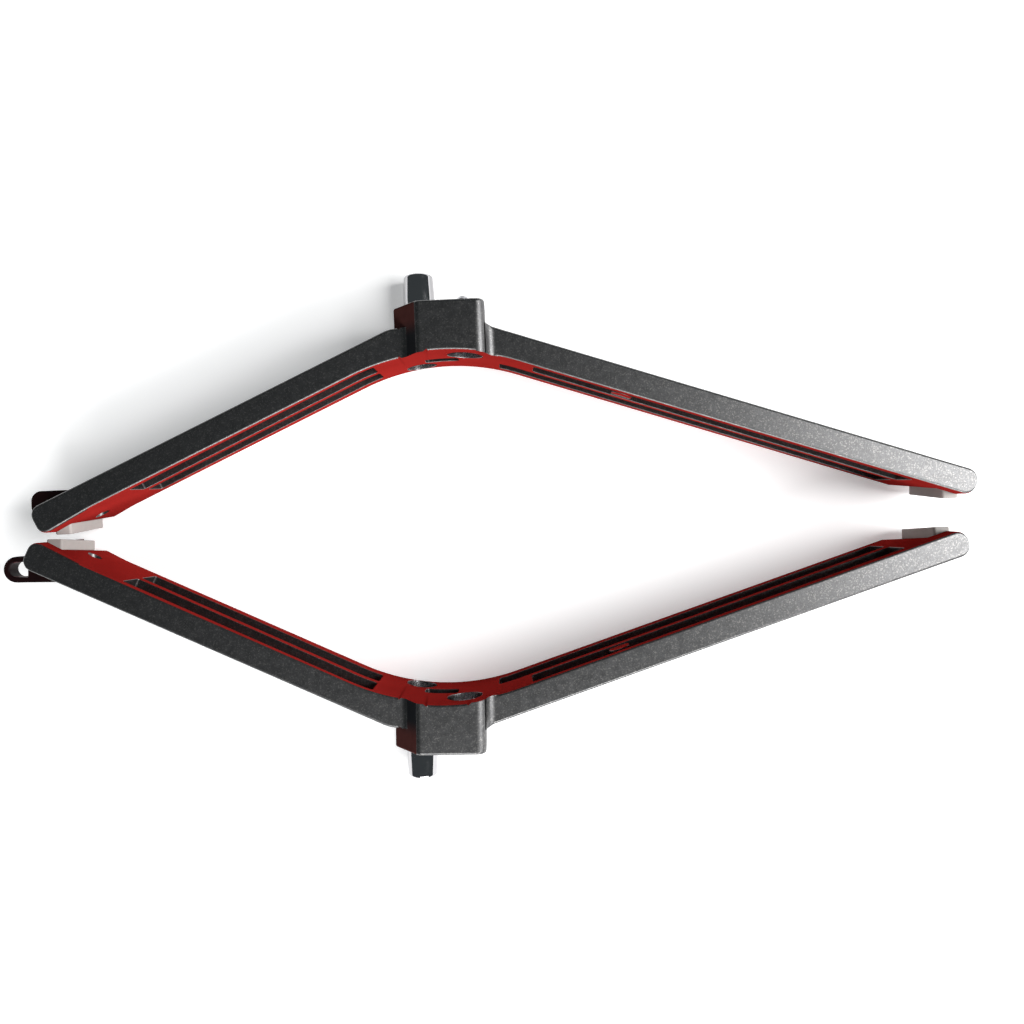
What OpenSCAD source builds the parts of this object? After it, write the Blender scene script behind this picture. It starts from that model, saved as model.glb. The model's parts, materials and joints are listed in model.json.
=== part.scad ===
// Matched pair of die-cast television stand legs, lying on their backs with
// their undersides facing each other. Each leg is drawn once in its own frame
// (X from the short arm's end to the long arm's end, Y up from the foot plane,
// Z from the back face towards the front) and placed twice, the second time
// mirrored.

/* [Arms] */
// Slope of the short arm against the foot plane, degrees
short_slope = 24.3; // [22:0.1:26]
// Slope of the long arm against the foot plane, degrees
long_slope = 18.96; // [18:0.01:20]
// Length of the short arm, from the apex to its end
short_reach = 139.3; // [136:0.1:142]
// Length of the long arm, from the apex to its end
long_reach = 179.1; // [175:0.1:184]
// Thickness of both arms, square to their slope
arm_thick = 8.4; // [8:0.1:9]
// Width of both arms, back face to front face
arm_width = 30; // [29:0.5:32]
// Radius of the arch under the hub
arch_r = 73; // [65:1:78]
// Lean of the whole underside, degrees
draft = 1.7; // [0.5:0.1:2]

/* [Hub] */
// Height of the hub's top face above the foot plane
hub_top = 68.3; // [67:0.1:70]
// How far the hub stands out of the arms' front face
hub_proud = 4.75; // [3.5:0.25:5.5]
// Left edge of the hub
hub_left = 117; // [116:0.1:117.5]
// Right edge of the hub
hub_right = 146.4; // [146:0.1:148]

/* [Post] */
// Diameter of the post's straight lower part
post_d = 10.8; // [10.2:0.1:10.9]
// Diameter of the post at its tip
post_tip_d = 10.1; // [9:0.1:10.2]
// Height of the post above the hub's top face
post_h = 15.8; // [14:0.1:20]

/* [Foot pads] */
// Width of a pad along the leg
pad_w = 5.3; // [4.5:0.1:5.6]
// Length of a pad across the leg
pad_l = 20.7; // [18:0.1:22]
// Thickness of a pad
pad_t = 3.5; // [3:0.1:4]
// Lean of the pads' rubbing faces, degrees
pad_lean = 4.2; // [3:0.1:5]

/* [Cable loop] */
// Outer diameter of the cable loop
loop_d = 8.7; // [8.4:0.1:9.2]
// Width of the loop and of its tongue, across the leg
loop_w = 5.4; // [4.6:0.1:5.5]

/* [Layout] */
// Gap between the two foot planes at the short arms' ends
gap = 1.2; // [1:0.1:6]
// How far each leg is turned away from the centre line, degrees
toe = 0.87; // [0:0.01:2]
// How far the second leg is shifted towards its short arm
stagger = 3; // [0:0.5:6]

/* [Hidden] */
$fn = 64;

// Apex: where the two straight undersides would meet
apex = [129.3, 58];
hub_front = arm_width + hub_proud;
hub_slant = 8;          // how far the slanted face runs along the leg
hub_slant_foot = 4.4;   // depth below the arms' front faces where the slant starts
hub_fillet = 3;         // round between the hub and the arms' front faces
shoulder = 61;          // height at which the arms' top edges run into the hub
cut_over = 20;          // how far a cutter runs past what it cuts
arc_steps = 10;         // straight pieces in each rounded corner

// Screw line: the front hole takes the mounting screw, the rear one the post
front_hole = [139.4, arm_width - 5.6];
rear_hole = [123.6, 5.6];
front_bore_d = 11.4;
rear_bore_d = 10.2;
front_seat = 64.2;      // height of the front counterbore's ceiling
rear_seat = 61.8;       // height of the rear counterbore's ceiling
slack = 0.05;           // radial running clearance round the moving screws

// The post's foot: a narrower disc in a shallow seat, and a spigot below it
post_seat = 0.4;
post_foot_d = 9.4;
spigot_d = 8;
spigot_l = 3;

// M4 screws
screw_d = 4;
screw_l = 10;
head_d = 7.6;
head_h = 3.1;
washer_t = 0.8;
washer_d = 9;
clear_d = 4.5;
lock_t = 1;             // thickness of the spring washer under the post screw
retainer_d = 7.4;
retainer_t = 1.5;

// Depth of the mounting screw below its seat: half in on the left leg, loose on the right
left_screw_drop = 2.1;
right_screw_drop = 5.4;

// Grooves in the undersides: near and far grooves with a rib between them
groove_depth = 5;
groove_near = [arm_width - 13.5, arm_width - 3];
groove_far = [3.5, arm_width - 16.5];
groove_r = 0.8;
boss_d = 7;
boss_reach = 64.2;
boss_z = 18;

// Foot pads
short_pad_x = 4;
long_pad_x = 292.2;
pad_front = arm_width - 6.3;
long_pad_drop = 0.5;    // how far the long arm's pad reaches below the short arm's
seat_play = 0.3;        // room round a pad in its seat
seat_run = 9;           // how far a seat runs from the pad towards the hub

// Cable clip and end plug: tongue held in a socket in the short arm's end
clip_z = 13.2;
clip_top = 14.75;
clip_wall = 1.8;
loop_x = -10.7;
loop_eye = 3.8;         // from the loop's centre to the eye's flat wall
plug_x = -8.2;
plug_r = 3.4;
tongue_end = 18.5;
tongue_h = 4.9;
nose_end = -0.2;
clip_screw_x = 14.3;
clip_screw_d = 2;
clip_head_d = 3.4;
clip_head_h = 1.4;
clip_head_top = 9.2;
clip_screw_top = 13.2;

end_round = 3.8;        // round on the long arm's end corners
toe_run = 18;           // length of the short arm's end where its underside dips
toe_dip = 3.5;          // how much steeper the dip is, degrees
toe_round = 60;         // round where the dip starts

// Unit vector at an angle
function dir(a) = [cos(a), sin(a)];

// Point at a distance along and off the short or the long arm, from the apex
function on_short(s, off = 0) =
    apex + s * dir(180 + short_slope) + off * dir(90 + short_slope);
function on_long(s, off = 0) =
    apex + s * dir(-long_slope) + off * dir(90 - long_slope);

// Point on the short arm's dipped underside, at a distance from where the dip starts
dip_start = on_short(short_reach - toe_run);
function on_dip(s) = dip_start + s * dir(180 + short_slope + toe_dip);

// The model's origin lies under the middle of the pair's outer box, from the
// second leg's cable loop to the outer corner of the first leg's long arm
function turned_x(p) = p[0] * cos(toe) - p[1] * sin(toe);
low_x = turned_x([loop_x, clip_top - loop_d / 2]) - loop_d / 2 - stagger;
high_x = turned_x(on_long(long_reach - end_round, arm_thick - end_round)) + end_round;
centre_x = (low_x + high_x) / 2;

// Arc that replaces corner p of the path a-p-b with a tangent round of radius r
function corner(a, p, b, r, steps) =
    let (ua = (a - p) / norm(a - p), ub = (b - p) / norm(b - p))
    let (half = acos(ua * ub) / 2, mid = (ua + ub) / norm(ua + ub))
    let (c = p + mid * r / sin(half))
    let (from = p + ua * r / tan(half) - c, to = p + ub * r / tan(half) - c)
    let (a0 = atan2(from[1], from[0]), turn = atan2(to[1], to[0]) - a0)
    let (sweep = turn > 180 ? turn - 360 : turn < -180 ? turn + 360 : turn)
    [for (i = [0 : steps]) c + r * dir(a0 + sweep * i / steps)];

// Outline from corners [[x, y], radius, steps]; radius 0 keeps a sharp corner
function outline(pts) =
    let (n = len(pts))
    [for (i = [0 : n - 1], q = pts[i][1] == 0 ? [pts[i][0]] :
        corner(pts[(i + n - 1) % n][0], pts[i][0], pts[(i + 1) % n][0],
               pts[i][1], pts[i][2])) q];

// Extrudes an outline given in X and Z from height y0 to height y1
module upright(y0, y1) {
    translate([0, y1, 0]) rotate([90, 0, 0]) linear_extrude(y1 - y0) children();
}

// Round bar that stands upright on the point at = [x, z]
module upright_bar(at, d, y0, y1) {
    translate([at[0], y1, at[1]]) rotate([90, 0, 0]) cylinder(d = d, h = y1 - y0);
}

// Leans whatever follows the underside back by the draft
module drafted() {
    translate([0, 0, arm_width]) rotate([draft, 0, 0])
        translate([0, 0, -arm_width]) children();
}

// Frame on an arm's underside: X along the arm, Y outwards, Z unchanged
module on_arm(short) {
    translate([apex[0], apex[1], 0])
        rotate([0, 0, short ? 180 + short_slope : -long_slope])
        mirror([0, short ? 1 : 0, 0]) children();
}

// Rounded rectangle between two corners
module rounded_box(lo, hi, r) {
    polygon(outline([
        [[lo[0], lo[1]], r, 4], [[hi[0], lo[1]], r, 4],
        [[hi[0], hi[1]], r, 4], [[lo[0], hi[1]], r, 4]
    ]));
}

// Side view of the two arms, as one slab of depth z
module arm_slab(z) {
    linear_extrude(z) polygon(outline([
        [on_dip(toe_run), 3.2, arc_steps],
        [dip_start, toe_round, 4],
        [apex, arch_r, 4 * arc_steps],
        [on_long(long_reach), end_round, arc_steps],
        [on_long(long_reach, arm_thick), end_round, arc_steps],
        [[hub_right, shoulder], 0, 0],
        [[hub_left - 1, shoulder], 12, arc_steps],
        [on_short(short_reach, arm_thick), 3.4, arc_steps]
    ]));
}

// Plan of the hub, with its slanted left face
module hub_plan() {
    back_right = hub_left + 17;
    polygon(outline([
        [[hub_left, 0], 0, 0],
        [[hub_left, arm_width - hub_slant_foot], 1, 4],
        [[hub_left + hub_slant, hub_front], 2.5, arc_steps],
        [[hub_right, hub_front], 3, arc_steps],
        [[hub_right, 19], 3, 4],
        [[back_right, 4], 3, 4],
        [[back_right, 0], 0, 0]
    ]));
}

// Plan of the two fillets between the hub and the arms' front faces
module fillet_plan() {
    reach = 12;
    rise = hub_slant_foot / (hub_slant_foot + hub_proud);
    left = [hub_left + hub_slant * rise, arm_width];
    right = [hub_right, arm_width];
    left_top = [hub_left + hub_slant, hub_front];
    polygon(concat([left + [1, -1]],
        corner(left - [reach, 0], left, left_top, hub_fillet, arc_steps)));
    polygon(concat([right - [1, 1]],
        corner(right + [0, reach], right, right + [reach, 0], hub_fillet, arc_steps)));
}

// Everything below the two undersides and the arch
module underside_cut() {
    drop = 90;
    far_short = on_dip(toe_run + cut_over);
    far_long = on_long(long_reach + cut_over);
    translate([0, 0, -cut_over]) linear_extrude(hub_front + 2 * cut_over)
        polygon(outline([
            [far_short, 0, 0], [dip_start, toe_round, 4],
            [apex, arch_r, 4 * arc_steps], [far_long, 0, 0],
            [far_long - [0, drop], 0, 0], [far_short - [0, drop], 0, 0]
        ]));
}

// One groove in an arm's underside, between two distances from the apex
module groove(short, from, to, band) {
    on_arm(short) upright(-cut_over, groove_depth)
        rounded_box([from, band[0]], [to, band[1]], groove_r);
}

// The four grooves and the round boss that bridges one of them
module grooves() {
    difference() {
        union() {
            groove(true, 21.2, 108.4, groove_near);
            groove(true, 21.2, 108.4, groove_far);
            groove(false, 33.8, 160.4, groove_near);
            groove(false, 22.5, 160.4, groove_far);
        }
        on_arm(false) upright_bar([boss_reach, boss_z], boss_d, 0.6, groove_depth + 1);
    }
}

// Counterbored screw holes and the pocket between them
module hub_holes() {
    upright_bar(front_hole, front_bore_d, 40, front_seat);
    upright_bar(front_hole, clear_d, 40, hub_top + 1);
    upright_bar(front_hole, retainer_d, hub_top - retainer_t, hub_top + 1);
    upright_bar(rear_hole, rear_bore_d, 40, rear_seat);
    upright_bar(rear_hole, clear_d, 40, hub_top + 1);
    upright_bar(rear_hole, spigot_d, hub_top - spigot_l, hub_top + 1);
    upright_bar(rear_hole, post_d + 2 * slack, hub_top - post_seat, hub_top + 1);
    upright(40, 59) rounded_box([125.8, 12], [136.8, 18], 1.2);
}

// Socket for the tongue and the hole of its screw
module clip_socket() {
    side = 0.1;
    translate([-cut_over, clip_top - tongue_h - side, clip_z - loop_w / 2 - side])
        cube([cut_over + tongue_end + 0.3, tongue_h + 2 * side, loop_w + 2 * side]);
    upright_bar([clip_screw_x, clip_z], clip_head_d + 0.6, -cut_over, clip_head_top);
    upright_bar([clip_screw_x, clip_z], clip_screw_d + 0.4, 0, clip_top - 2);
}

// Frame on a pad's rubbing face, at the corner nearest the short arm's end
module on_pad(x, drop) {
    translate([x, -drop, pad_front]) rotate([pad_lean, 0, 0]) children();
}

// Foot pad of even thickness
module pad(x, drop) {
    color("gainsboro") on_pad(x, drop) translate([0, 0, -pad_l]) upright(0, pad_t)
        rounded_box([0, 0], [pad_w, pad_l], 0.8);
}

// Flat seat for a pad, open at the leg's back face; from and to are along the leg
module pad_seat(x, drop, from, to) {
    behind = pad_front + cut_over;
    on_pad(x, drop) translate([from, -cut_over, -behind])
        cube([to - from, cut_over + pad_t, behind + seat_play]);
}

module leg_casting() {
    color("dimgray") difference() {
        union() {
            arm_slab(arm_width);
            upright(45, hub_top) hub_plan();
            intersection() {
                arm_slab(hub_front);
                upright(45, hub_top) fillet_plan();
            }
        }
        drafted() {
            underside_cut();
            grooves();
        }
        hub_holes();
        clip_socket();
        pad_seat(short_pad_x, 0, -seat_play, pad_w + seat_run);
        pad_seat(long_pad_x, long_pad_drop, -seat_run, pad_w + seat_play);
    }
}

// Chrome post: spigot, straight part, tapered nose with a rounded rim
module post() {
    straight = 8.2;
    rim = 0.9;
    color("silver") translate([rear_hole[0], hub_top, rear_hole[1]])
        rotate([-90, 0, 0]) difference() {
            union() {
                translate([0, 0, -spigot_l]) cylinder(d = spigot_d, h = spigot_l);
                translate([0, 0, -post_seat]) cylinder(d = post_foot_d, h = post_seat);
                cylinder(d = post_d, h = straight);
                rotate_extrude() polygon(concat(
                    [[0, straight], [post_d / 2, straight]],
                    [for (a = [0 : 15 : 90]) [post_tip_d / 2 - rim, post_h - rim]
                        + rim * dir(a)],
                    [[0, post_h]]
                ));
            }
            translate([0, 0, -4]) cylinder(d = screw_d, h = 13);
        }
}

// Cross-recess pan-head screw that points along +Y, head bearing face at y = 0
module pan_screw(d, l, hd, hh) {
    rotate([-90, 0, 0]) difference() {
        union() {
            cylinder(d = d, h = l - 0.6);
            translate([0, 0, l - 0.6]) cylinder(d1 = d, d2 = d - 1.2, h = 0.6);
            translate([0, 0, -hh * 0.6]) cylinder(d = hd, h = hh * 0.6);
            translate([0, 0, -hh]) cylinder(d1 = hd * 0.72, d2 = hd, h = hh * 0.4);
        }
        for (a = [0, 90]) rotate([0, 0, a])
            translate([-hd * 0.27, -hd * 0.06, -hh - 1]) cube([hd * 0.54, hd * 0.12, hh * 0.6 + 1]);
    }
}

module post_screw() {
    color("silver") translate([rear_hole[0], rear_seat - lock_t, rear_hole[1]])
        pan_screw(screw_d, screw_l, head_d, head_h);
}

// Split spring washer under the post screw's head
module post_washer() {
    color("slategray") difference() {
        upright_bar(rear_hole, head_d - 0.4, rear_seat - lock_t, rear_seat);
        upright_bar(rear_hole, screw_d + 0.1, rear_seat - 2 * lock_t, rear_seat + 1);
        translate([rear_hole[0], rear_seat - 2 * lock_t, rear_hole[1] - 0.3])
            cube([head_d, 3 * lock_t, 0.6]);
    }
}

// Mounting screw, as far below its seat as drop says
module mount_screw(drop) {
    color("silver") translate([front_hole[0], front_seat - washer_t - drop, front_hole[1]])
        pan_screw(screw_d, screw_l, head_d, head_h);
}

// Flat washer that travels with the mounting screw
module mount_washer(drop) {
    top = front_seat - drop;
    color("slategray") difference() {
        upright_bar(front_hole, washer_d, top - washer_t, top);
        upright_bar(front_hole, screw_d + 2 * slack, top - 2 * washer_t, top + 1);
    }
}

// Nylon ring let into the hub's top, which keeps the mounting screw from falling out
module screw_retainer() {
    color("ivory") difference() {
        upright_bar(front_hole, retainer_d, hub_top - retainer_t, hub_top);
        upright_bar(front_hole, screw_d + 2 * slack, hub_top - 2 * retainer_t, hub_top + 1);
    }
}

// Small screw that holds the tongue from below
module clip_screw() {
    color("silver") translate([clip_screw_x, clip_head_top, clip_z])
        pan_screw(clip_screw_d, clip_screw_top - clip_head_top, clip_head_d, clip_head_h);
}

// Side view of the tongue in the short arm's socket
module tongue_side(from) {
    translate([from, clip_top - tongue_h]) square([tongue_end - from, tongue_h]);
}

// Gives a clip's side view its width and the pilot hole of its screw
module clip_body() {
    difference() {
        translate([0, 0, clip_z - loop_w / 2]) linear_extrude(loop_w) children();
        upright_bar([clip_screw_x, clip_z], clip_screw_d, 0, clip_screw_top);
    }
}

// Plain plug in the left leg's short arm
module end_plug() {
    low = clip_top - loop_d;
    color("maroon") clip_body() {
        tongue_side(plug_x + plug_r);
        polygon(outline([
            [[plug_x, low], plug_r, arc_steps], [[nose_end, low], 0.6, 4],
            [[nose_end, clip_top], 0, 0], [[plug_x, clip_top], plug_r, arc_steps]
        ]));
    }
}

// Cable clip in the right leg's short arm: the loop's eye has one flat wall
module cable_clip() {
    r = loop_d / 2;
    mid = clip_top - r;
    eye = r - clip_wall;
    color("maroon") clip_body() difference() {
        union() {
            translate([loop_x, mid]) circle(r);
            translate([loop_x, mid - r]) square([nose_end - loop_x, loop_d]);
            tongue_side(loop_x + r);
        }
        translate([loop_x, mid]) circle(eye);
        translate([loop_x, mid - eye]) square([loop_eye, 2 * eye]);
    }
}

// Where the first leg lies, and the second, mirrored
module left_place() {
    translate([-centre_x, gap / 2, 0]) rotate([0, 0, toe]) children();
}
module right_place() {
    mirror([0, 1, 0]) translate([-centre_x - stagger, gap / 2, 0])
        rotate([0, 0, toe]) children();
}

left_place() leg_casting();  // left_leg_casting
left_place() post();  // left_post
left_place() post_screw();  // left_post_screw
left_place() post_washer();  // left_post_washer
left_place() mount_screw(left_screw_drop);  // left_mount_screw
left_place() mount_washer(left_screw_drop);  // left_mount_washer
left_place() screw_retainer();  // left_screw_retainer
left_place() pad(short_pad_x, 0);  // left_short_pad
left_place() pad(long_pad_x, long_pad_drop);  // left_long_pad
left_place() end_plug();  // left_end_plug
left_place() clip_screw();  // left_plug_screw
right_place() leg_casting();  // right_leg_casting
right_place() post();  // right_post
right_place() post_screw();  // right_post_screw
right_place() post_washer();  // right_post_washer
right_place() mount_screw(right_screw_drop);  // right_mount_screw
right_place() mount_washer(right_screw_drop);  // right_mount_washer
right_place() screw_retainer();  // right_screw_retainer
right_place() pad(short_pad_x, 0);  // right_short_pad
right_place() pad(long_pad_x, long_pad_drop);  // right_long_pad
right_place() cable_clip();  // right_cable_clip
right_place() clip_screw();  // right_clip_screw
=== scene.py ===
"""A pair of television stand legs lying on a pale floor, seen from straight above."""
import json
import math

import bmesh
import bpy
from mathutils import Matrix, Vector
from mathutils.bvhtree import BVHTree


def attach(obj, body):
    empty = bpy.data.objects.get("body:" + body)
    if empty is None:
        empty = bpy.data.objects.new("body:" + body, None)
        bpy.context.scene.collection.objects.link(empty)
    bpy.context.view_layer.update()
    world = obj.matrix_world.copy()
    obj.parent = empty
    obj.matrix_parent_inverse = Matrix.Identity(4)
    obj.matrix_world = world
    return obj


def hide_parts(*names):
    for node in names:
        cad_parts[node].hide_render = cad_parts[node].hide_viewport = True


MM = 0.001
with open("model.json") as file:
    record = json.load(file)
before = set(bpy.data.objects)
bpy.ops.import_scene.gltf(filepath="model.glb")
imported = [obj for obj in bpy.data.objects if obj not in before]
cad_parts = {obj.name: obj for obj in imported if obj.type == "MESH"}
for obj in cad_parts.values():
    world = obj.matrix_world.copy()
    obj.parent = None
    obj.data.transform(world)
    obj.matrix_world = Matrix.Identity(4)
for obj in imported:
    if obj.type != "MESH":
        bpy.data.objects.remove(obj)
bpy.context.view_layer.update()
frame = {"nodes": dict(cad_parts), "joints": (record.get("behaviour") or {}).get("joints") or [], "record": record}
SIDES = {"left": 1, "right": -1}    # the sign of Y on which each leg lies

# Camera: straight down over the middle of the pair
CAMERA_PLACE = Vector((7.6, 7.06, 273.4)) * MM
CAMERA_LENS = 27.04
CAMERA_TURN = -1.57                 # degrees about Z
CAMERA_SHIFT = (0.0117, -0.0088)

MOUNTS = {mount["name"]: mount for mount in frame["record"]["mounts"]}
JOINTS = {joint["name"]: joint for joint in frame["joints"]}

# Holes of the hub: counterbores below, the post's seat and the retainer's bore on top
FRONT_BORE = 5.8 * MM
REAR_BORE = 5.6 * MM

# Rounding of edges
HUB_ROUND = 0.9                     # mm, on the hub's rim and along the near edges
CASTING_ROUND = 0.22                # mm, on every other edge of a casting
END_PIECE_ROUND = 0.3               # mm
SHARP = math.radians(35)            # an edge that bends more than this is rounded
FLAT = math.radians(0.5)            # faces that bend less than this count as one
SHORTEST_EDGE = 0.15 * MM
SPIKE = 0.4 * MM                    # rounding may not move the surface further than this
FAULT_REACH = 1.5 * MM              # edges this near a fault are left sharp
ROUNDING_TRIES = (3, 3, 8, 8, 500, 500)     # each try's longest edge to leave sharp, in mm

# Chrome post, from the hub's top face
POST_STRAIGHT = 8.2 * MM
POST_HEIGHT = 15.8 * MM
POST_RADIUS = 5.4 * MM
POST_TIP_RADIUS = 5.05 * MM
POST_RIM = 0.9 * MM

# M4 screws
THREAD_PITCH = 0.7 * MM
THREAD_MAJOR = 2.0 * MM
THREAD_MINOR = 1.65 * MM
HEAD_RADIUS = 3.8 * MM
HEAD_HEIGHT = 3.1 * MM
SCREW_LENGTH = 10 * MM

# ---------------------------------------------------------------- shader help

class Shader:
    """A node material with short calls for the nodes that this scene uses."""

    def __init__(self, name, **sockets):
        self.material = bpy.data.materials.new(name)
        self.material.use_nodes = True
        self.tree = self.material.node_tree
        self.surface = self.tree.nodes["Principled BSDF"]
        for socket, value in sockets.items():
            self.surface.inputs[socket.replace("_", " ")].default_value = value

    def node(self, kind, **settings):
        made = self.tree.nodes.new("ShaderNode" + kind)
        for key, value in settings.items():
            setattr(made, key, value)
        return made

    def link(self, a, b):
        self.tree.links.new(a, b)

    def place(self, scale=1.0):
        """Object coordinates in millimetres, times scale."""
        coordinates = self.node("TexCoord")
        mapping = self.node("Mapping")
        mapping.inputs["Scale"].default_value = (1000 * scale,) * 3
        self.link(coordinates.outputs["Object"], mapping.inputs["Vector"])
        return mapping.outputs["Vector"]

    def noise(self, scale, detail=2.0, roughness=0.5):
        made = self.node("TexNoise")
        made.inputs["Scale"].default_value = scale
        made.inputs["Detail"].default_value = detail
        made.inputs["Roughness"].default_value = roughness
        self.link(self.place(), made.inputs["Vector"])
        return made.outputs["Fac"]

    def span(self, value, low, high, to_low=0.0, to_high=1.0):
        """Maps low..high of a value to to_low..to_high, smoothly and clamped."""
        made = self.node("MapRange", interpolation_type="SMOOTHSTEP")
        for socket, number in zip(("From Min", "From Max", "To Min", "To Max"),
                                  (low, high, to_low, to_high)):
            made.inputs[socket].default_value = number
        self.link(value, made.inputs["Value"])
        return made.outputs["Result"]

    def mix(self, factor, a, b):
        """Mixes two colours; each is a tuple or an output."""
        made = self.node("Mix", data_type="RGBA")
        self.link(factor, made.inputs["Factor"])
        for socket, colour in ((made.inputs[6], a), (made.inputs[7], b)):
            if isinstance(colour, tuple):
                socket.default_value = (*colour, 1.0)
            else:
                self.link(colour, socket)
        return made.outputs[2]

    def math(self, operation, a, b):
        made = self.node("Math", operation=operation)
        for socket, value in zip(made.inputs, (a, b)):
            if isinstance(value, (int, float)):
                socket.default_value = value
            else:
                self.link(value, socket)
        return made.outputs[0]

    def bump(self, height, distance, strength=1.0):
        made = self.node("Bump")
        made.inputs["Strength"].default_value = strength
        made.inputs["Distance"].default_value = distance
        self.link(height, made.inputs["Height"])
        self.link(made.outputs["Normal"], self.surface.inputs["Normal"])

    def base(self, colour):
        self.link(colour, self.surface.inputs["Base Color"])

    def rough(self, value):
        self.link(value, self.surface.inputs["Roughness"])


# ---------------------------------------------------------------- materials

def casting_paint():
    """Satin grey metallic paint with fine flake."""
    paint = Shader("casting_paint", Metallic=1.0)
    flake = paint.node("TexVoronoi", feature="F1")
    flake.inputs["Scale"].default_value = 3.0
    paint.link(paint.place(), flake.inputs["Vector"])
    grain = paint.node("SeparateColor")
    paint.link(flake.outputs["Color"], grain.inputs[0])
    bright = paint.span(grain.outputs[0], 0.72, 1.0)
    tone = paint.mix(grain.outputs[1], (0.098, 0.097, 0.097), (0.122, 0.122, 0.124))
    paint.base(paint.mix(bright, tone, (0.19, 0.185, 0.18)))
    paint.rough(paint.span(paint.noise(0.4, 4.0), 0.3, 0.7, 0.37, 0.42))
    paint.bump(paint.noise(2.4, 2.0), 0.00002, 0.25)
    return paint.material


def underside_painted_reflection():
    """Painted red reflection on the undersides: an even red, without gloss."""
    red = Shader("underside_painted_reflection", Specular_IOR_Level=0.0)
    # Painted red reflection, an even red on every face it is given.
    red.base(red.mix(red.noise(0.07, 3.0), (0.210, 0.0120, 0.0100), (0.275, 0.0175, 0.0150)))
    red.rough(red.span(red.noise(0.5, 4.0), 0.3, 0.7, 0.55, 0.65))
    red.bump(red.noise(2.4, 2.0), 0.00002, 0.25)
    return red.material


def side_painted_reflection_shade():
    """The hub's left side and faces along the hub's axis: maroon painted red reflection near its top, fading to
    near black painted shade below.
    """
    side = Shader("side_painted_reflection_shade", Specular_IOR_Level=0.0)
    place = side.node("SeparateXYZ")
    side.link(side.place(), place.inputs[0])
    height = side.math("ABSOLUTE", place.outputs["Y"], 0)
    maroon = side.mix(side.noise(0.5, 3.0), (0.062, 0.0220, 0.0200), (0.084, 0.0300, 0.0270))
    # Painted maroon reflection where |Y| is above 66 mm, fading to near black painted shade below 60 mm.
    side.base(side.mix(side.span(height, 60, 66), (0.016, 0.017, 0.019), maroon))
    side.rough(side.span(side.noise(0.5, 4.0), 0.3, 0.7, 0.50, 0.60))
    side.bump(side.noise(2.4, 2.0), 0.00002, 0.25)
    return side.material


def machined_metal():
    """Bare metal of the counterbores, with fine turning marks."""
    bare = Shader("machined_metal", Metallic=1.0)
    bare.base(bare.mix(bare.noise(0.7, 3.0), (0.34, 0.34, 0.35), (0.48, 0.48, 0.49)))
    bare.rough(bare.span(bare.noise(3.0, 3.0), 0.3, 0.7, 0.22, 0.36))
    bare.bump(bare.noise(5.0, 2.0), 0.00001, 0.4)
    return bare.material


def post_chrome():
    chrome = Shader("post_chrome", Metallic=1.0)
    chrome.base(chrome.mix(chrome.noise(0.3, 3.0), (0.42, 0.42, 0.44), (0.50, 0.49, 0.49)))
    chrome.rough(chrome.span(chrome.noise(0.8, 4.0), 0.35, 0.7, 0.05, 0.11))
    chrome.bump(chrome.noise(1.2, 3.0), 0.00001, 0.15)
    return chrome.material


def screw_steel():
    steel = Shader("screw_steel", Metallic=1.0)
    steel.base(steel.mix(steel.noise(0.9, 3.0), (0.40, 0.40, 0.42), (0.58, 0.58, 0.60)))
    steel.rough(steel.span(steel.noise(1.5, 4.0), 0.3, 0.7, 0.24, 0.40))
    steel.bump(steel.noise(4.0, 3.0), 0.00001, 0.3)
    return steel.material


def pad_rubber():
    rubber = Shader("pad_rubber", Specular_IOR_Level=0.3)
    rubber.base(rubber.mix(rubber.noise(0.5, 4.0), (0.31, 0.298, 0.285), (0.375, 0.355, 0.335)))
    rubber.rough(rubber.span(rubber.noise(1.0, 3.0), 0.3, 0.7, 0.55, 0.75))
    rubber.bump(rubber.noise(5.0, 3.0), 0.00004, 0.4)
    return rubber.material


def pad_shade_and_reflection():
    """Painted shade and painted red reflection: the dark red rubbing face of the long arms' pads."""
    painted_pad_shade_reflection = Shader("pad_shade_and_reflection", Specular_IOR_Level=0.0)
    # Near-black red stands for painted shade with a painted red reflection, not for a stain.
    painted_pad_shade_reflection.base(painted_pad_shade_reflection.mix(painted_pad_shade_reflection.noise(0.5, 4.0), (0.008, 0.0012, 0.0012), (0.018, 0.003, 0.0026)))
    painted_pad_shade_reflection.rough(painted_pad_shade_reflection.span(painted_pad_shade_reflection.noise(1.0, 3.0), 0.3, 0.7, 0.55, 0.75))
    painted_pad_shade_reflection.bump(painted_pad_shade_reflection.noise(5.0, 3.0), 0.00004, 0.4)
    return painted_pad_shade_reflection.material


def clip_plastic(name, dark, light):
    plastic = Shader(name, Specular_IOR_Level=0.12)
    plastic.base(plastic.mix(plastic.noise(0.4, 3.0), dark, light))
    plastic.rough(plastic.span(plastic.noise(1.0, 3.0), 0.3, 0.7, 0.38, 0.52))
    plastic.bump(plastic.noise(6.0, 2.0), 0.00003, 0.35)
    return plastic.material


def retainer_nylon():
    nylon = Shader("retainer_nylon", Subsurface_Weight=0.1)
    nylon.base(nylon.mix(nylon.noise(0.8, 3.0), (0.60, 0.57, 0.48), (0.70, 0.67, 0.58)))
    nylon.rough(nylon.span(nylon.noise(1.2, 3.0), 0.3, 0.7, 0.40, 0.55))
    nylon.bump(nylon.noise(5.0, 2.0), 0.00003, 0.3)
    return nylon.material


def floor_paper():
    paper = Shader("floor_paper", Roughness=0.9, Emission_Strength=0.35)
    paper.surface.inputs["Emission Color"].default_value = (1, 1, 1, 1)
    paper.base(paper.mix(paper.noise(0.02, 2.0), (0.86, 0.86, 0.86), (0.88, 0.88, 0.88)))
    return paper.material


# ---------------------------------------------------------------- pieces

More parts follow.
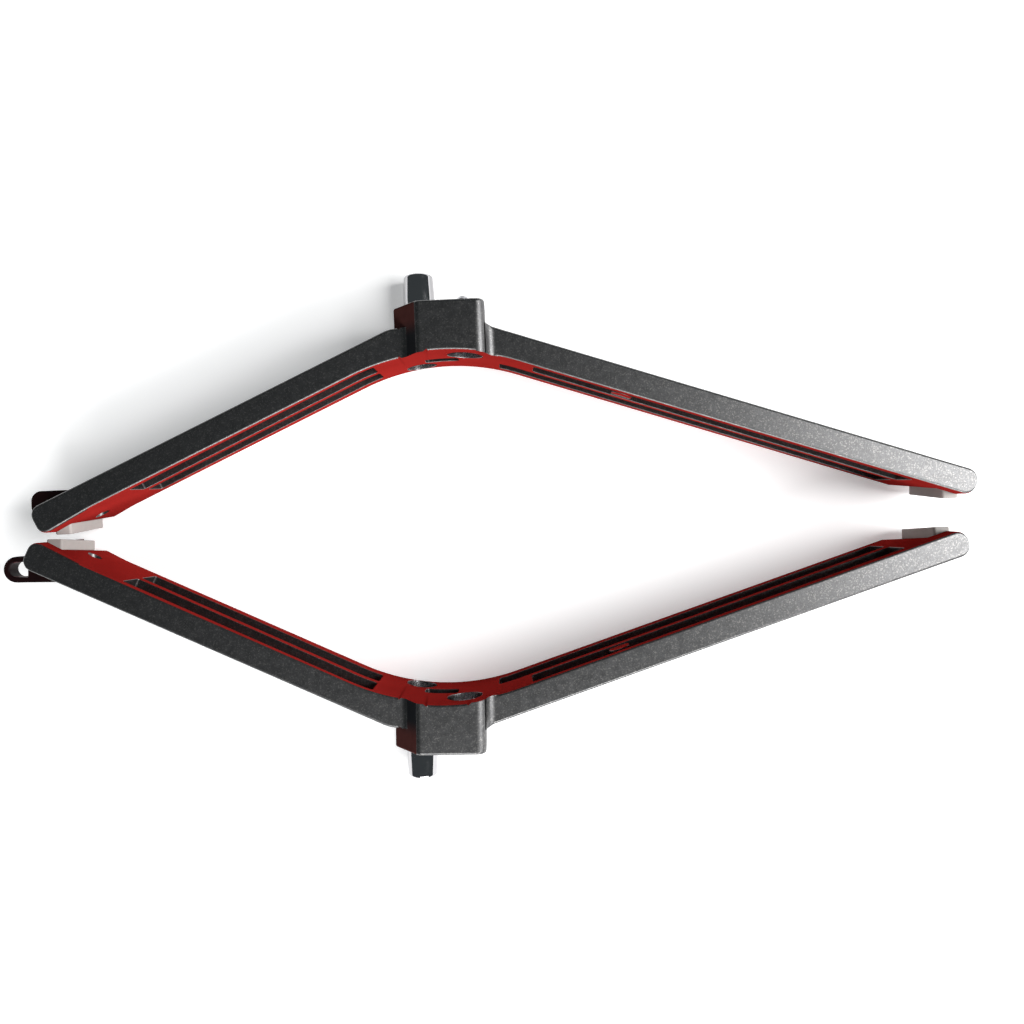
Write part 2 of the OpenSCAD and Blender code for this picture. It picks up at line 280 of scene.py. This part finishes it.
def add_piece(name, mesh, materials, body, replaced):
    piece = bpy.data.objects.new(name, mesh)
    bpy.context.scene.collection.objects.link(piece)
    for material in materials:
        mesh.materials.append(material)
    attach(piece, body)
    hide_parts(replaced)
    return piece


def distance_to_axis(point, start, axis):
    offset = point - start
    return (offset - axis * offset.dot(axis)).length


def round_edges(shape, edges, width, segments=3):
    bmesh.ops.bevel(shape, geom=edges, offset=width * MM, offset_type="OFFSET", affect="EDGES",
                    segments=segments, profile=0.5, clamp_overlap=False, loop_slide=True,
                    material=-1)


def clean_shape(node):
    """The node's mesh without doubled points and without edges inside flat faces."""
    shape = bmesh.new()
    shape.from_mesh(node.data)
    bmesh.ops.remove_doubles(shape, verts=shape.verts, dist=SHORTEST_EDGE)
    bmesh.ops.dissolve_limit(shape, angle_limit=FLAT, verts=shape.verts,
                             edges=shape.edges)
    return shape


def sharp_edges(shape, wanted=lambda edge: True):
    return [edge for edge in shape.edges if len(edge.link_faces) == 2
            and edge.calc_face_angle() > SHARP and wanted(edge)]


def folded_corners(face):
    """Where two sides of a face with one side between them cross each other."""
    def turn(p, q, r):
        return (q - p).cross(r - p).dot(face.normal)

    points = [vertex.co for vertex in face.verts]
    for i in range(len(points)):
        a, b, c, d = (points[(i + k) % len(points)] for k in range(4))
        if turn(a, b, c) * turn(a, b, d) < 0 and turn(c, d, a) * turn(c, d, b) < 0:
            yield (b + c) / 2


def faults(shape, surface):
    """Where rounding has left a spike or folded a face over itself."""
    shape.normal_update()
    nearest = [surface.find_nearest(v.co) for v in shape.verts]
    spikes = [place for place, _, _, distance in nearest if distance > SPIKE]
    return spikes + [p for face in shape.faces if len(face.verts) > 4
                     for p in folded_corners(face)]


def reach(edge, point):
    """The distance from a point to an edge."""
    start, end = (v.co for v in edge.verts)
    square = (end - start).length_squared or 1
    along = max(0, min(1, (point - start).dot(end - start) / square))
    return (start + (end - start) * along - point).length


def rounded_shape(node, width, first, wanted):
    """The node's rounded mesh; edges that can't be rounded cleanly are left sharp."""
    surface = BVHTree.FromBMesh(clean_shape(node))
    sharp = []
    for longest in ROUNDING_TRIES:
        def clean(edge):
            return not any(reach(edge, point) < FAULT_REACH and edge.calc_length() < limit
                           for point, limit in sharp)

        shape = clean_shape(node)
        if first:
            first(shape, clean)
        round_edges(shape, sharp_edges(shape, lambda e: wanted(e) and clean(e)), width)
        found = faults(shape, surface)
        if not found:
            break
        sharp += [(point, longest * MM) for point in found]
    for vertex in shape.verts:
        place, _, _, distance = surface.find_nearest(vertex.co)
        if distance > SPIKE:
            vertex.co = place
    return shape


def rounded_piece(name, materials, width, paint=None, first=None,
                  wanted=lambda edge: True):
    """A piece that stands for a CAD node, with rounded edges and smooth curved faces."""
    node = frame["nodes"][name]
    shape = rounded_shape(node, width, first, wanted)
    shape.normal_update()
    for edge in sharp_edges(shape):
        edge.smooth = False
    if paint:
        for face in shape.faces:
            face.material_index = paint(face.calc_center_median(), face.normal)
    mesh = bpy.data.meshes.new(f"{name}_finished")
    for face in shape.faces:
        face.smooth = True
    shape.to_mesh(mesh)
    shape.free()
    piece = add_piece(mesh.name, mesh, materials, "root", name)
    normals = piece.modifiers.new("weighted_normals", "WEIGHTED_NORMAL")
    normals.keep_sharp = True
    return piece


def add_casting(side, paints):
    """The casting, with larger rounds on the hub's rim and near edges than elsewhere."""
    hub_top = MOUNTS[f"{side}_hub_top"]
    up, top = Vector(hub_top["axis"]), Vector(hub_top["pos_m"])
    holes = [(JOINTS[f"{side}_mount_turn"], FRONT_BORE), (MOUNTS[f"{side}_post"], REAR_BORE)]
    holes = [(Vector(h["pos_m"]), Vector(h["axis"]), radius) for h, radius in holes]

    def in_hole(point):
        return any(distance_to_axis(point, start, axis) < radius
                   for start, axis, radius in holes)

    def on_hub_rim(edge):
        return all(abs((v.co - top).dot(up)) < 0.02 * MM and not in_hole(v.co)
                   for v in edge.verts) and max(v.co.z for v in edge.verts) > MM

    def on_near_edge(edge):
        return (all(v.co.z > 29.9 * MM for v in edge.verts)
                and any(face.normal.z > 0.9 for face in edge.link_faces)
                and any(abs(face.normal.z) < 0.4 for face in edge.link_faces)
                and not any(in_hole(v.co) for v in edge.verts))

    def first(shape, clean):
        for chosen in (on_hub_rim, on_near_edge):
            round_edges(shape, sharp_edges(shape, lambda e: chosen(e) and clean(e)),
                        HUB_ROUND, 4)

    def paint(centre, normal):
        if in_hole(centre) and abs(normal.dot(up)) < 0.5:
            return 3
        # Faces turned away from the hub's axis, the undersides, get the painted red reflection.
        if normal.dot(up) < -0.75:
            return 1
        # Faces along the hub's axis, and left faces near the hub's top, get the painted maroon reflection that
        # fades to painted shade.
        if normal.dot(up) > 0.9 or (normal.x < -0.6 and (centre - top).dot(up) > -25 * MM):
            return 2
        return 0

    def off_seat(edge):
        """Not the top's back edge, which the post's seat nearly reaches."""
        return not all(abs((v.co - top).dot(up)) < 0.02 * MM and v.co.z < MM
                       for v in edge.verts)

    rounded_piece(f"{side}_leg_casting", paints, CASTING_ROUND,
                  paint, first, off_seat)


def add_clip(name, outer, eye_painted_reflection):
    """A clip or plug; the inside of the clip's eye gets a lighter red, a painted red reflection."""
    eye = next(o for o in frame["record"]["physics"]["openings"]
               if o["name"] == "cable_loop_eye")
    low, high = (Vector(corner) for corner in eye["box_m"])
    middle = (low + high) / 2

    def paint(centre, normal):
        out = centre - middle
        near = Vector((out.x, out.y)).length < 3.2 * MM
        # The eye's inner wall gets the painted red reflection.
        return 1 if near and abs(normal.z) < 0.5 and out.dot(normal) < 0 else 0

    rounded_piece(name, (outer, eye_painted_reflection), END_PIECE_ROUND, paint)


def add_pads(side, rubber, painted_pad_shade_reflection):
    up = Vector(MOUNTS[f"{side}_hub_top"]["axis"])

    # Faces against the hub's axis, the long pad's rubbing face, get the painted shade and red reflection.
    def paint(_, normal):
        return 1 if normal.dot(up) < -0.8 else 0

    rounded_piece(f"{side}_short_pad", (rubber,), 0.3)
    rounded_piece(f"{side}_long_pad", (rubber, painted_pad_shade_reflection), 0.3, paint)


def finish_node(name, material):
    """Gives a small CAD node its material and smooth curved faces."""
    node = frame["nodes"][name]
    node.data.materials.clear()
    node.data.materials.append(material)
    weld = node.modifiers.new("weld", "WELD")
    weld.merge_threshold = 0.004 * MM
    bevel = node.modifiers.new("round_edges", "BEVEL")
    bevel.width = 0.08 * MM
    bevel.segments = 2
    bevel.limit_method = "ANGLE"
    bevel.angle_limit = math.radians(35)
    node.data.shade_smooth()
    normals = node.modifiers.new("weighted_normals", "WEIGHTED_NORMAL")
    normals.keep_sharp = False


def add_all(steel):
    rubber, painted_pad_shade_reflection, nylon = pad_rubber(), pad_shade_and_reflection(), retainer_nylon()
    paints = (casting_paint(), underside_painted_reflection(), side_painted_reflection_shade(), machined_metal())
    outer = clip_plastic("clip_plastic", (0.005, 0.0018, 0.002), (0.013, 0.003, 0.0035))
    # Lighter red for the clip's eye: a painted red reflection.
    eye_painted_reflection = clip_plastic("clip_eye_painted_reflection", (0.060, 0.006, 0.006), (0.085, 0.009, 0.008))
    for side in SIDES:
        add_casting(side, paints)
        add_pads(side, rubber, painted_pad_shade_reflection)
        for part in ("post_washer", "mount_washer"):
            finish_node(f"{side}_{part}", steel)
        finish_node(f"{side}_screw_retainer", nylon)
    for name in ("left_plug_screw", "right_clip_screw"):
        finish_node(name, steel)
    for name in ("left_end_plug", "right_cable_clip"):
        add_clip(name, outer, eye_painted_reflection)


# ---------------------------------------------------------------- turned pieces

def along(start, axis):
    """Matrix that takes +Z to a direction and the origin to a point."""
    return Matrix.Translation(start) @ axis.to_track_quat("Z", "X").to_matrix().to_4x4()


def rings_mesh(name, rings):
    """Closed mesh through rings of equal length, capped at both ends."""
    count = len(rings[0])
    verts = [point for ring in rings for point in ring]
    faces = [tuple(reversed(range(count)))]
    for r in range(len(rings) - 1):
        for i in range(count):
            j = (i + 1) % count
            a, b = r * count, (r + 1) * count
            faces.append((a + i, a + j, b + j, b + i))
    faces.append(tuple(range((len(rings) - 1) * count, len(rings) * count)))
    mesh = bpy.data.meshes.new(name)
    mesh.from_pydata(verts, [], faces)
    mesh.shade_smooth()
    return mesh


def circle(radius, height, count):
    return [(radius * math.cos(math.tau * i / count), radius * math.sin(math.tau * i / count),
             height) for i in range(count)]


def quarter(radius, height, rim, steps=6):
    """Profile points of a rounded rim that ends at that radius and height."""
    return [(radius - rim + rim * math.cos(math.pi / 2 * i / steps),
             height - rim + rim * math.sin(math.pi / 2 * i / steps)) for i in range(steps + 1)]


def add_post(side, chrome):
    """Chrome locating post: straight, then slightly tapered, with a rounded rim."""
    mount = MOUNTS[f"{side}_post"]
    axis = Vector(mount["axis"])
    foot = Vector(mount["pos_m"]) - axis * POST_STRAIGHT / 2
    hold = 0.1 * MM             # spacing of the rings that keep an edge crisp
    profile = [(POST_RADIUS - 0.2 * MM, -0.3 * MM), (POST_RADIUS, -0.1 * MM),
               (POST_RADIUS, hold), (POST_RADIUS, POST_STRAIGHT - hold),
               (POST_RADIUS, POST_STRAIGHT), (POST_RADIUS, POST_STRAIGHT + hold),
               (POST_TIP_RADIUS, POST_HEIGHT - POST_RIM - hold)]
    profile += quarter(POST_TIP_RADIUS, POST_HEIGHT, POST_RIM)
    profile += [(2.4 * MM, POST_HEIGHT), (2.1 * MM, POST_HEIGHT - 0.15 * MM)]
    mesh = rings_mesh(f"{side}_post_turned", [circle(r, z, 96) for r, z in profile])
    mesh.transform(along(foot, axis))
    add_piece(mesh.name, mesh, (chrome,), "root", f"{side}_post")


def thread_rings():
    """Rings of a right-hand M4 thread that runs out at the tip."""
    count, per_turn = 40, 8
    rings = []
    for r in range(round(SCREW_LENGTH / THREAD_PITCH * per_turn) + 1):
        z = r * THREAD_PITCH / per_turn
        tip = min(1.0, (SCREW_LENGTH - z) / (0.8 * MM))
        ring = []
        for i in range(count):
            phase = (z / THREAD_PITCH - i / count) % 1.0
            crest = min(1.0, 2.6 * (1 - abs(2 * phase - 1)))
            radius = THREAD_MINOR + (THREAD_MAJOR - THREAD_MINOR) * crest * tip
            radius -= 0.35 * MM * (1 - tip)
            turn = math.tau * i / count
            ring.append((radius * math.cos(turn), radius * math.sin(turn), z))
        rings.append(ring)
    return rings


def head_mesh():
    """Domed head with a cross recess, bearing face at z = 0."""
    rim = [(HEAD_RADIUS, 0.0), (HEAD_RADIUS, -0.45 * HEAD_HEIGHT)]
    for i in range(1, 9):
        turn = math.pi / 2 * i / 9
        rim.append((HEAD_RADIUS * math.cos(turn),
                    -HEAD_HEIGHT * (0.45 + 0.55 * math.sin(turn))))
    rim.append((HEAD_RADIUS * 0.1, -HEAD_HEIGHT))
    rim.reverse()
    head = bpy.data.objects.new("head", rings_mesh("head", [circle(r, z, 64) for r, z in rim]))
    cutter = bpy.data.objects.new("cutter", cross_mesh())
    for thing in (head, cutter):
        bpy.context.scene.collection.objects.link(thing)
    cut = head.modifiers.new("cross", "BOOLEAN")
    cut.object, cut.operation, cut.solver = cutter, "DIFFERENCE", "EXACT"
    graph = bpy.context.evaluated_depsgraph_get()
    made = bpy.data.meshes.new_from_object(head.evaluated_get(graph))
    for thing in (head, cutter):
        bpy.data.objects.remove(thing)
    return made


def cross_mesh():
    """Plus-shaped prism that tapers into the head."""
    arm, half, depth = HEAD_RADIUS * 0.54, HEAD_RADIUS * 0.13, HEAD_HEIGHT * 0.62
    outline = []
    for quarter_turn in range(4):
        c, s = ((1, 0), (0, 1), (-1, 0), (0, -1))[quarter_turn]
        for x, y in ((arm, -half), (arm, half), (half, half)):
            outline.append((c * x - s * y, s * x + c * y))
    rings = [[(x * k, y * k, z) for x, y in outline]
             for z, k in ((-HEAD_HEIGHT - 0.5 * MM, 1.0), (-HEAD_HEIGHT + depth, 0.7))]
    return rings_mesh("cross", rings)


def add_screws(steel):
    """Threaded M4 screws in place of the plain CAD ones."""
    for side in SIDES:
        post, turn = MOUNTS[f"{side}_post"], JOINTS[f"{side}_mount_turn"]
        for part, line, body in (("mount_screw", turn, f"{side}_mount_screw"),
                                 ("post_screw", post, "root")):
            node = frame["nodes"][f"{side}_{part}"]
            start, axis = Vector(line["pos_m"]), Vector(line["axis"])
            far = max((v.co - start).dot(axis) for v in node.data.vertices)
            place = along(start + axis * (far - SCREW_LENGTH), axis)
            mesh = bpy.data.meshes.new(f"{side}_{part}_cut")
            made = bmesh.new()
            made.from_mesh(rings_mesh("thread", thread_rings()))
            made.from_mesh(head_mesh())
            made.to_mesh(mesh)
            made.free()
            mesh.set_sharp_from_angle(angle=math.radians(38))
            mesh.transform(place)
            add_piece(mesh.name, mesh, (steel,), body, node.name)


# ---------------------------------------------------------------- stage

def add_floor():
    side = 3.0
    mesh = bpy.data.meshes.new("floor")
    mesh.from_pydata([(-side, -side, 0), (side, -side, 0), (side, side, 0), (-side, side, 0)],
                     [], [(0, 1, 2, 3)])
    floor = bpy.data.objects.new("floor", mesh)
    floor.location.z = -0.05 * MM
    bpy.context.scene.collection.objects.link(floor)
    mesh.materials.append(floor_paper())


def add_light(name, place, target, size, power, colour=(1, 1, 1)):
    light = bpy.data.lights.new(name, "AREA")
    light.shape = "RECTANGLE"
    light.size, light.size_y = size
    light.energy = power
    light.color = colour
    lamp = bpy.data.objects.new(name, light)
    lamp.location = place
    lamp.visible_camera = False
    lamp.rotation_euler = (Vector(target) - Vector(place)).to_track_quat("-Z", "Y").to_euler()
    bpy.context.scene.collection.objects.link(lamp)
    return lamp


def add_lights():
    """A soft panel on the right and a weaker one in front; the left and back stay dim."""
    add_light("panel_right", (0.95, 0.02, 0.74), (0.08, 0, 0), (0.6, 0.8), 22)
    add_light("panel_front", (0.20, -1.00, 0.78), (0, 0, 0), (1.2, 0.45), 20)
    world = bpy.data.worlds.new("studio")
    world.use_nodes = True
    background = world.node_tree.nodes["Background"]
    background.inputs["Color"].default_value = (0.82, 0.95, 1.0, 1)
    background.inputs["Strength"].default_value = 0.085
    bpy.context.scene.world = world


def add_camera():
    data = bpy.data.cameras.new("camera")
    data.lens = CAMERA_LENS
    data.sensor_width = 36
    data.shift_x, data.shift_y = CAMERA_SHIFT
    data.clip_start, data.clip_end = 0.01, 10
    camera = bpy.data.objects.new("camera", data)
    camera.location = CAMERA_PLACE
    camera.rotation_euler = (0, 0, math.radians(CAMERA_TURN))
    bpy.context.scene.collection.objects.link(camera)
    bpy.context.scene.camera = camera


add_camera()
steel_material, chrome_material = screw_steel(), post_chrome()
add_all(steel_material)
for leg in SIDES:
    add_post(leg, chrome_material)
add_screws(steel_material)
add_floor()
add_lights()
bpy.context.scene.view_settings.view_transform = "Standard"
